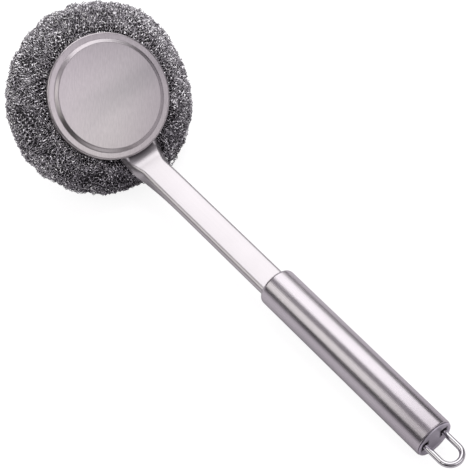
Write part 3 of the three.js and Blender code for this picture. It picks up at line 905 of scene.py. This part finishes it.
def course_line(skin, rng, fields, s, knit, base):
    """One closed row of stitches as points in the head's frame."""
    count = max(LEAST_STITCHES, round(FULL_TURN * skin.radius_at(s) / knit.stitch))
    each = np.arange(count * STITCH_POINTS) / STITCH_POINTS
    t = each * FULL_TURN
    tall = around(each, rng.uniform(*STITCH_TALL, count))
    loose = rng.normal(0, STITCH_LIFT, count)
    loose = loose + LOOSE_RISE * rng.random(count) * (rng.random(count) < LOOSE_SHARE)
    lift = around(each, loose)
    angle = FULL_TURN * (each + STITCH_SWAY * np.sin(2 * t)) / count + rng.uniform(0, FULL_TURN)
    flat = skin.points(np.full_like(t, s), angle, np.zeros_like(t))
    free = np.clip((np.hypot(flat[:, 0], flat[:, 1]) - CAP_R) / FREE_RUN, 0, 1)
    along = s + knit.reach * tall * np.cos(t) + free * knit.drift * fields[0](flat)
    angle = angle + free * knit.drift * fields[1](flat) / np.maximum(skin.radius_at(s), DRIFT_LEAST_R)
    ruffle = knit.crumple * (fields[2](flat) + fields[3](flat))
    height = base + STITCH_DEPTH * (np.cos(2 * t) + lift) + free * ruffle
    along = np.clip(along, 0, skin.s[-1] - STITCH_END)
    return skin.points(along, angle, height - fold_depth(skin, along, angle, knit.fold))


def claws():
    """Middle, half width and tip of each claw of the plate, in the head's frame."""
    low = [p for p in vertices("back_plate", HEAD) if p.z < CAP_SKIRT - FIT]
    found = []
    for quarter in range(4):
        mine = [p for p in low if int(math.atan2(p.y, p.x) % FULL_TURN // QUARTER) == quarter]
        middle = sum((p.xy for p in mine), Vector((0, 0))) / len(mine)
        half = max((p.xy - middle).length for p in mine)
        found.append((middle, half, min(p.z for p in mine)))
    return found


def claw_pockets():
    """Boxes that clear the plate's claws."""
    bm = bmesh.new()
    for middle, half, tip in claws():
        tall = PAD_HIGH - tip + 2 * FIT
        shape = Matrix.Diagonal((2 * CLAW_ROOM, 2 * half + 2 * FIT, tall, 1))
        turn = Matrix.Rotation(math.atan2(middle.y, middle.x), 4, "Z")
        stand = Matrix.Translation((*middle, tip - FIT + tall / 2))
        moved(bm, stand @ turn @ shape, bmesh.ops.create_cube(bm, size=1)["verts"])
    return bm


def at_claws(points, hooks):
    """Marks the points that lie where a claw goes."""
    blocked = np.zeros(len(points), bool)
    for middle, half, tip in hooks:
        way = np.array(middle.normalized())
        out = points[:, :2] @ way - middle.length
        side = points[:, :2] @ np.array((-way[1], way[0]))
        blocked |= (np.abs(out) < CLAW_ROOM) & (np.abs(side) < half + FIT) & (points[:, 2] > tip)
    return blocked


def open_runs(points, tilt, blocked):
    """Splits a closed line where it is blocked: points, tilt and whether the line is still closed."""
    if not blocked.any():
        return [(points, tilt, True)]
    start = int(np.argmax(blocked))
    points, tilt, blocked = (np.roll(a, -start, axis=0) for a in (points, tilt, blocked))
    cuts = np.flatnonzero(np.diff(blocked.astype(int))) + 1
    parts = zip(np.split(points, cuts), np.split(tilt, cuts), np.split(blocked, cuts))
    return [(p, q, False) for p, q, b in parts if not b[0] and len(p) > 2]


def shared_out(runs, pieces):
    """Runs of wire in groups of about the same length, in their order."""
    total = sum(len(points) for points, _, _ in runs)
    groups = [[] for _ in range(pieces)]
    filled = 0
    for run in runs:
        groups[min(int(filled * pieces / total), pieces - 1)].append(run)
        filled += len(run[0])
    return groups


def ribbon(name, runs, width, thick):
    """A flat wire along runs of points, as one object."""
    section = bpy.data.curves.new("wire_section", "CURVE")
    section.dimensions = "2D"
    edge = section.splines.new("POLY")
    w, h = width / 2, thick / 2
    corners = ((-w, -h), (w, -h), (w, h), (-w, h))
    edge.points.add(len(corners) - 1)
    for point, corner in zip(edge.points, corners):
        point.co = (*corner, 0, 1)
    edge.use_cyclic_u = True
    section_object = bpy.data.objects.new("wire_section", section)
    wire = bpy.data.curves.new(name, "CURVE")
    wire.dimensions = "3D"
    wire.twist_mode = "Z_UP"
    wire.bevel_mode = "OBJECT"
    wire.bevel_object = section_object
    wire.use_fill_caps = True
    for points, tilt, closed in runs:
        spline = wire.splines.new("POLY")
        spline.points.add(len(points) - 1)
        spline.points.foreach_set("co", np.column_stack((points, np.ones(len(points)))).ravel())
        spline.points.foreach_set("tilt", tilt)
        spline.use_cyclic_u = closed
    holder = linked(name, wire)
    mesh = evaluated(holder)
    for used in (holder, section_object):
        bpy.data.objects.remove(used)
    for used in (wire, section):
        bpy.data.curves.remove(used)
    mesh.name = name
    return linked(name, mesh)


def in_row(points):
    """Points of the head's frame in the row's frame, kept above the floor that the pad lies on."""
    turn = np.array(HEAD.to_3x3())
    row = points @ turn.T + np.array(HEAD.translation)
    row[:, 2] = np.maximum(row[:, 2], FLOOR_GAP)
    return row


# End cap and loop

def slot_cutters(sheet, face):
    """Round-ended bars that cut the slots where the loop's legs swing."""
    swing = math.radians(SWING["range_deg"][1])
    wide = WIRE_R + FIT
    deep = face - PIVOT_X
    tall = deep * math.tan(swing) + WIRE_R / math.cos(swing) + FIT - wide
    bm = bmesh.new()
    for side in (1, -1):
        made = bmesh.ops.create_circle(bm, cap_ends=True, segments=WIRE_SEGMENTS, radius=wide)["verts"]
        for v in made:
            v.co.y += math.copysign(tall, v.co.y)
        spot = Matrix.Translation((face - CUT_BELOW * sheet.end_sheet, side * sheet.loop_half, 0))
        moved(bm, spot @ Matrix.Rotation(QUARTER, 4, "Y") @ Matrix.Rotation(QUARTER, 4, "Z"), made)
        lid = made[0].link_faces[0]
        out = bmesh.ops.extrude_face_region(bm, geom=[lid])["geom"]
        far = [v for v in out if isinstance(v, bmesh.types.BMVert)]
        bmesh.ops.translate(bm, vec=(CUT_RUN * sheet.end_sheet, 0, 0), verts=far)
    bmesh.ops.recalc_face_normals(bm, faces=bm.faces[:])
    return bm


def bends(centre, angle, steps):
    """Small turns that lead the wire around a bend."""
    turn = Matrix.Rotation(angle / steps, 4, "Z")
    return [Matrix.Translation(centre) @ turn @ Matrix.Translation(-centre)] * steps


# Stage

def make_floor():
    """White paper, evenly lit to the eye and darker to the metal that mirrors it."""
    bm = bmesh.new()
    bmesh.ops.create_circle(bm, cap_ends=True, segments=FLOOR_SEGMENTS, radius=FLOOR_R)
    floor = as_object("floor", bm)
    material = bpy.data.materials.new("floor_white")
    tree = empty_tree(material)
    where = own_place(tree)
    tone = mapped(tree, noise(tree, where, *FLOOR_MOTTLE), (0, 1), FLOOR_TONE)
    paper = node(tree, "BsdfDiffuse", {"Color": tone})
    path = node(tree, "LightPath").outputs
    mirror = maths(tree, "MAXIMUM", path["Is Glossy Ray"], path["Is Transmission Ray"])
    shade = node(tree, "AmbientOcclusion", {"Distance": SHADE_REACH}, samples=SHADE_SAMPLES)
    shade = maths(tree, "POWER", shade.outputs["AO"], SHADE_POWER)
    front = mapped(tree, towards(tree, where, DARK_SIDE), FRONT, (FLOOR_IN_METAL, FRONT_TONE))
    in_metal = maths(tree, "MULTIPLY", mirror, maths(tree, "MULTIPLY", shade, front))
    in_view = maths(tree, "MULTIPLY", path["Is Camera Ray"], FLOOR_IN_VIEW)
    glow = maths(tree, "ADD", in_metal, in_view)
    tint = colour_mix(tree, path["Is Camera Ray"], (*STUDIO_TINT, 1), (*WHITE, 1))
    lit = node(tree, "Emission", {"Color": tint, "Strength": glow})
    both = node(tree, "AddShader", {0: paper.outputs[0], 1: lit.outputs[0]})
    node(tree, "OutputMaterial", {0: both.outputs[0]})
    floor.data.materials.append(material)


def make_world(scene):
    """Grey sky by height, dark on one side and filled on another."""
    scene.world = bpy.data.worlds.new("studio")
    tree = empty_tree(scene.world)
    where = node(tree, "TexCoord").outputs["Generated"]
    ahead, _, up = node(tree, "SeparateXYZ", {0: where}).outputs
    sky = node(tree, "ValToRGB", {0: up})
    band = sky.color_ramp.elements
    while len(band) < len(SKY):
        band.new(0.5)
    for element, (at, grey) in zip(band, SKY):
        element.position = at
        element.color = (*(grey * c for c in STUDIO_TINT), 1)
    dark = mapped(tree, towards(tree, where, DARK_SIDE), DARK_ROOM, (1, DARK_TONE))
    fill = maths(tree, "MULTIPLY", mapped(tree, ahead, FILL_ROOM, (0, FILL_TONE)), dark)
    room = node(tree, "Background", {"Color": sky.outputs[0], "Strength": dark})
    front = node(tree, "Background", {"Color": (*STUDIO_TINT, 1), "Strength": fill})
    both = node(tree, "AddShader", {0: room.outputs[0], 1: front.outputs[0]})
    node(tree, "OutputWorld", {0: both.outputs[0]})


def make_lamp(name, angle, distance, run, width, radiance, tint):
    """A softbox beside the X axis that faces it, from one place along it to another."""
    light = bpy.data.lights.new(name, "AREA")
    light.shape = "RECTANGLE"
    light.size = run[1] - run[0]
    light.size_y = width
    light.energy = radiance * math.pi * light.size * light.size_y
    light.color = tint
    a = math.radians(angle)
    out = Vector((0, math.cos(a), math.sin(a)))
    middle = out * distance + Vector(((run[0] + run[1]) / 2, 0, 0))
    linked(name, light).matrix_world = axes_at(middle, (1, 0, 0), out)


def make_camera(scene, view):
    """Camera that looks at the target from its angles."""
    data = bpy.data.cameras.new("camera")
    data.lens = view.lens
    data.sensor_width = SENSOR_MM
    a, e = view.azimuth, view.elevation
    back = Vector((math.sin(a) * math.cos(e), -math.cos(a) * math.cos(e), math.sin(e)))
    level = (-back).to_track_quat("-Z", "Y").to_matrix()
    turn = level @ Matrix.Rotation(view.roll, 3, "Z")
    spot = Matrix.Translation(Vector(view.target) + back * view.distance)
    scene.camera = linked("camera", data)
    scene.camera.matrix_world = spot @ turn.to_4x4()


# Operators

class SCOURER_OT_stage(bpy.types.Operator):
    """Floor, lamps, world and camera"""

    bl_idname = "scourer.stage"
    bl_label = "Stage"

    def execute(self, context):
        scene = context.scene
        scene.view_settings.view_transform = "Standard"
        make_floor()
        make_world(scene)
        for lamp in LAMPS:
            make_lamp(*lamp)
        make_camera(scene, scene.scourer_view)
        return {"FINISHED"}


class SCOURER_OT_head_cap(bpy.types.Operator):
    """Stamped cap of the head"""

    bl_idname = "scourer.head_cap"
    bl_label = "Head cap"

    def execute(self, context):
        sheet, finish = sheet_and_finish(context)
        near = sheet.cap_step * STEP_ROUND
        rim = CAP_R + CAP_MORE
        line = profile([
            (0, 0),
            (0, sheet.cap_middle + near),
            (-sheet.cap_drop, sheet.cap_middle + sheet.cap_step - near),
            (-sheet.cap_drop, rim),
            (CAP_SKIRT, rim),
        ], {1: (near, CORNER_STEPS), 2: (near, CORNER_STEPS), 3: (sheet.cap_round, RIM_STEPS)})
        bm = turned(line, CAP_SEGMENTS)
        bmesh.ops.solidify(bm, geom=bm.faces[:], thickness=sheet.cap_sheet)
        upright = HEAD @ Matrix.Translation(CAP_SHIFT) @ Matrix.Rotation(-QUARTER, 4, "Y")
        cap = as_object("head_cap_shell", moved(softened(bm, sheet.edge), upright))
        look, tree = steel("cap_steel", finish.cap, finish.satin_rough, HEAD @ CAP_GRAIN, FINE_LINE)
        # painted reflection and shade on the cap, with the grain's streaks
        painted_shade_and_streaks(tree)
        dress(cap, look, "brush_body", ["head_cap"])
        return {"FINISHED"}


class SCOURER_OT_arm(bpy.types.Operator):
    """Pressed channel arm"""

    bl_idname = "scourer.arm"
    bl_label = "Arm"

    def execute(self, context):
        sheet, finish = sheet_and_finish(context)
        arm = as_object("arm_channel", make_arm(sheet))
        look, tree = steel("arm_steel", finish.pale, finish.arm_rough, GRIP, FINE_LINE)
        # painted shade under the cap's rim
        shaded_root(tree)
        dress(arm, look, "brush_body", ["arm"])
        return {"FINISHED"}


class SCOURER_OT_handle_tube(bpy.types.Operator):
    """Tube of the handle"""

    bl_idname = "scourer.handle_tube"
    bl_label = "Handle tube"

    def execute(self, context):
        sheet, finish = sheet_and_finish(context)
        bore = TUBE_R - sheet.tube_wall
        inside = TUBE_FRONT + sheet.tube_wall
        line = profile([
            (inside, sheet.tube_mouth),
            (TUBE_FRONT, sheet.tube_mouth),
            (TUBE_FRONT, TUBE_R),
            (TUBE_BACK, TUBE_R),
            (TUBE_BACK, bore),
            (inside, bore),
            (inside, sheet.tube_mouth),
        ], {
            2: (sheet.tube_shoulder, SHOULDER_STEPS),
            3: (sheet.tube_end, CORNER_STEPS),
            5: (sheet.tube_shoulder - sheet.tube_wall, CORNER_STEPS),
        })
        bm = turned(line, TUBE_SEGMENTS)
        tube = as_object("grip_tube", moved(softened(bm, sheet.edge), GRIP))
        look, tree = steel("tube_steel", finish.satin, finish.tube_rough, GRIP, FINE_LINE)
        # painted shade towards the tube's rear end
        shaded_end(tree)
        dress(tube, look, "brush_body", ["handle_tube"])
        return {"FINISHED"}


class SCOURER_OT_end_cap(bpy.types.Operator):
    """Pressed end cap with its slots"""

    bl_idname = "scourer.end_cap"
    bl_label = "End cap"

    def execute(self, context):
        sheet, finish = sheet_and_finish(context)
        plug = TUBE_R - sheet.tube_wall - FIT
        face = END_CREST - sheet.end_bead
        seat = TUBE_BACK + FIT
        skirt = TUBE_BACK - sheet.end_skirt
        bead = (BEAD_ROUND, BEAD_STEPS)
        line = profile([
            (face, 0),
            (face, sheet.end_face),
            (END_CREST, sheet.end_face + sheet.end_bead),
            (END_CREST, END_RIM),
            (seat, END_RIM),
            (seat, plug),
            (skirt, plug),
            (skirt, plug - sheet.end_sheet),
            (face - sheet.end_sheet, plug - sheet.end_sheet),
            (face - sheet.end_sheet, 0),
        ], {1: bead, 2: bead, 3: (sheet.end_round, END_STEPS)})
        bm = carved(turned(line, TUBE_SEGMENTS), slot_cutters(sheet, face))
        cap = as_object("end_cap_shell", moved(softened(bm, sheet.edge), GRIP))
        across = GRIP @ Matrix.Rotation(QUARTER, 4, "Z")
        look, tree = steel("end_steel", finish.end, finish.satin_rough, across, FINE_LINE)
        # painted shade in the slots
        shaded_slots(tree, sheet.loop_half)
        dress(cap, look, "brush_body", ["end_cap"])
        return {"FINISHED"}


class SCOURER_OT_hanging_loop(bpy.types.Operator):
    """Bent wire loop"""

    bl_idname = "scourer.hanging_loop"
    bl_label = "Hanging loop"

    def execute(self, context):
        sheet, finish = sheet_and_finish(context)
        bm = bmesh.new()
        tip = Matrix.Translation((PIVOT_X, LOOP_FOOT, 0))
        ring = bmesh.ops.create_circle(bm, segments=WIRE_SEGMENTS, radius=WIRE_R)["verts"]
        moved(bm, tip @ Matrix.Rotation(QUARTER, 4, "X"), ring)
        bow = Vector((LOOP_END - WIRE_R - sheet.loop_half, 0, 0))
        bend = Vector((PIVOT_X + sheet.foot_bend, sheet.loop_half + sheet.foot_bend, 0))
        leg = Matrix.Translation((bow.x - bend.x, 0, 0))
        foot = Matrix.Translation((0, bend.y - LOOP_FOOT, 0))
        path = [
            foot,
            *bends(bend, QUARTER, FOOT_STEPS),
            leg,
            *bends(bow, -math.pi, BOW_STEPS),
            leg.inverted(),
            *bends(Vector((bend.x, -bend.y, 0)), QUARTER, FOOT_STEPS),
            foot,
        ]
        for step in path:
            ring = grow(bm, ring)
            moved(bm, step, ring)
        lidded(bm)
        loop = as_object("loop_wire", moved(softened(bm, 2 * sheet.edge), GRIP))
        look, _ = steel("bright_wire", finish.bright, finish.bright_rough, GRIP, WIRE_LINE)
        dress(loop, look, "loop", ["hanging_loop"])
        return {"FINISHED"}


class SCOURER_OT_inner_steel(bpy.types.Operator):
    """Finish of the plate, rivets and front cap"""

    bl_idname = "scourer.inner_steel"
    bl_label = "Inner steel"

    def execute(self, context):
        finish = context.scene.scourer_finish
        look, _ = steel("rolled_steel", finish.plain, finish.plain_rough, HEAD, ROLLED_LINE)
        rivets = sorted(n for n in frame["nodes"] if n.startswith("root_rivet"))
        for name in ("back_plate", "front_cap", *rivets):
            piece = frame["nodes"][name]
            piece.data.materials.clear()
            piece.data.materials.append(look)
        return {"FINISHED"}


class SCOURER_OT_pad_core(bpy.types.Operator):
    """Packed wire inside the pad, dark as painted shade"""

    bl_idname = "scourer.pad_core"
    bl_label = "Pad core"

    def execute(self, context):
        scene = context.scene
        skin = PadSkin(scene.scourer_knit, scene.scourer_sheet)
        r, z = skin.raised(np.linspace(0, skin.s[-1], MERIDIAN_STEPS), -CORE_DEPTH)
        r[0] = r[-1] = 0
        bm = turned(profile(zip(z, np.maximum(r, 0))), CORE_SEGMENTS)
        moved(bm, Matrix.Rotation(-QUARTER, 4, "Y"))
        depth = np.array((0, 0, CORE_DEPTH))
        spots = np.array([v.co for v in bm.verts])
        for v, spot in zip(bm.verts, skin.kept_clear(spots + depth) - depth):
            v.co = spot
        bm = carved(bm, claw_pockets())
        core = as_object("pad_core", moved(bm, HEAD))
        look = wire_steel("packed_wire_in_shade", scene.scourer_finish.core, CORE_ROUGH, CORE_SPREAD)
        dress(core, look, "pad", ["scourer_pad"])
        return {"FINISHED"}


class SCOURER_OT_pad_knit(bpy.types.Operator):
    """Rows of stitches over the pad"""

    bl_idname = "scourer.pad_knit"
    bl_label = "Pad knit"

    def execute(self, context):
        scene = context.scene
        knit, finish = scene.scourer_knit, scene.scourer_finish
        skin = PadSkin(knit, scene.scourer_sheet)
        rng = np.random.default_rng(knit.seed)
        fields = [waves(rng, *size) for size in (SLOW_WAVES, SLOW_WAVES, SLOW_WAVES, QUICK_WAVES)]
        hooks = claws()
        looks = {
            "outer": wire_steel("knitted_wire", finish.knit, finish.knit_rough, WIRE_SPREAD),
            "inner": wire_steel("shaded_wire", finish.shade, finish.knit_rough, WIRE_SPREAD),
        }
        for name, base, inmost, pieces in LAYERS:
            runs = []
            first = np.interp(inmost, skin.r[:3], skin.s[:3])
            for s in np.arange(first, skin.s[-1] - KNIT_END, knit.course):
                points = course_line(skin, rng, fields, s, knit, base)
                turns = rng.normal(0, WIRE_TILT, len(points) // TILT_POINTS)
                tilt = around(np.arange(len(points)) / TILT_POINTS, turns)
                parts = open_runs(points, tilt, at_claws(points, hooks))
                runs += [(in_row(p), q, closed) for p, q, closed in parts]
            for number, group in enumerate(shared_out(runs, pieces), 1):
                piece = ribbon(f"pad_knit_{name}_{number}", group, knit.wire_width, knit.wire_thick)
                dress(piece, looks[name], "pad", ["scourer_pad"])
        return {"FINISHED"}


class SCOURER_PT_panel(bpy.types.Panel):
    """Lists the steps that make the brush and its sizes"""

    bl_idname = "SCOURER_PT_panel"
    bl_label = "Scourer brush"
    bl_space_type = "VIEW_3D"
    bl_region_type = "UI"
    bl_category = "Scourer"

    def draw(self, context):
        for operator in OPERATORS:
            self.layout.operator(operator.bl_idname)
        for group in GROUPS:
            box = self.layout.box()
            settings = getattr(context.scene, group)
            for name in settings.__annotations__:
                box.prop(settings, name)


GROUPS = {
    "scourer_sheet": SheetSizes,
    "scourer_knit": KnitSizes,
    "scourer_finish": SteelFinish,
    "scourer_view": ViewSettings,
}
OPERATORS = (
    SCOURER_OT_stage,
    SCOURER_OT_head_cap,
    SCOURER_OT_arm,
    SCOURER_OT_handle_tube,
    SCOURER_OT_end_cap,
    SCOURER_OT_hanging_loop,
    SCOURER_OT_inner_steel,
    SCOURER_OT_pad_core,
    SCOURER_OT_pad_knit,
)


def register():
    """Registers the settings, the steps and the panel."""
    for name, group in GROUPS.items():
        bpy.utils.register_class(group)
        setattr(bpy.types.Scene, name, PointerProperty(type=group))
    for cls in (*OPERATORS, SCOURER_PT_panel):
        bpy.utils.register_class(cls)


def unregister():
    """Takes the settings, the steps and the panel away."""
    for cls in (SCOURER_PT_panel, *reversed(OPERATORS)):
        bpy.utils.unregister_class(cls)
    for name, group in reversed(GROUPS.items()):
        delattr(bpy.types.Scene, name)
        bpy.utils.unregister_class(group)


def main():
    """Makes the brush step by step."""
    register()
    for operator in OPERATORS:
        module, name = operator.bl_idname.split(".")
        getattr(getattr(bpy.ops, module), name)()


if __name__ == "__main__":
    main()
